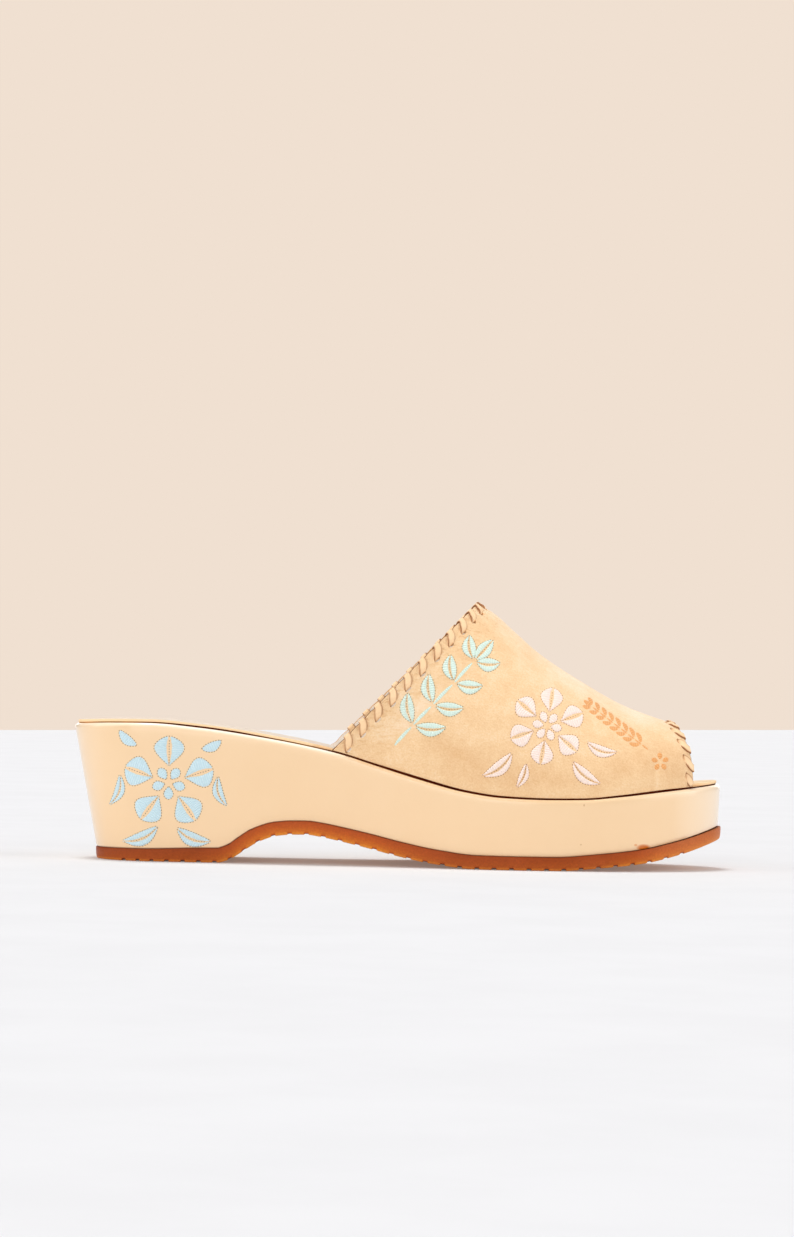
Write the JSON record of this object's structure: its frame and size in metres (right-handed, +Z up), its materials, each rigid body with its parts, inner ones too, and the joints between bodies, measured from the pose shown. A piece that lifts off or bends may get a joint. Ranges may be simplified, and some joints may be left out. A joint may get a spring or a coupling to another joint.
{
  "type": "wedge mule",
  "caption": "Open-toed slip-on wedge shoe: a laced-edge suede upper on a leather-covered wedge with a grooved rubber outsole.",
  "frame": {"origin": "on the floor, under the middle of the shoe's box", "axes": "+X from heel to toe, +Y towards the inner, big-toe side, +Z up"},
  "size_m": [0.253, 0.0873, 0.1038],
  "materials": {
    "gum_rubber": "amber gum rubber, satin",
    "wedge_leather": "smooth nude leather, soft gloss",
    "sock_leather": "nude leather, matt",
    "upper_suede": "nude suede with a short nap",
    "thong_leather": "nude leather lace, satin"
  },
  "bodies": {
    "root": {"outsole": "gum_rubber", "wedge": "wedge_leather", "insole": "sock_leather", "upper": "upper_suede", "collar_thong": "thong_leather", "toe_thong": "thong_leather"}
  },
  "joints": []
}
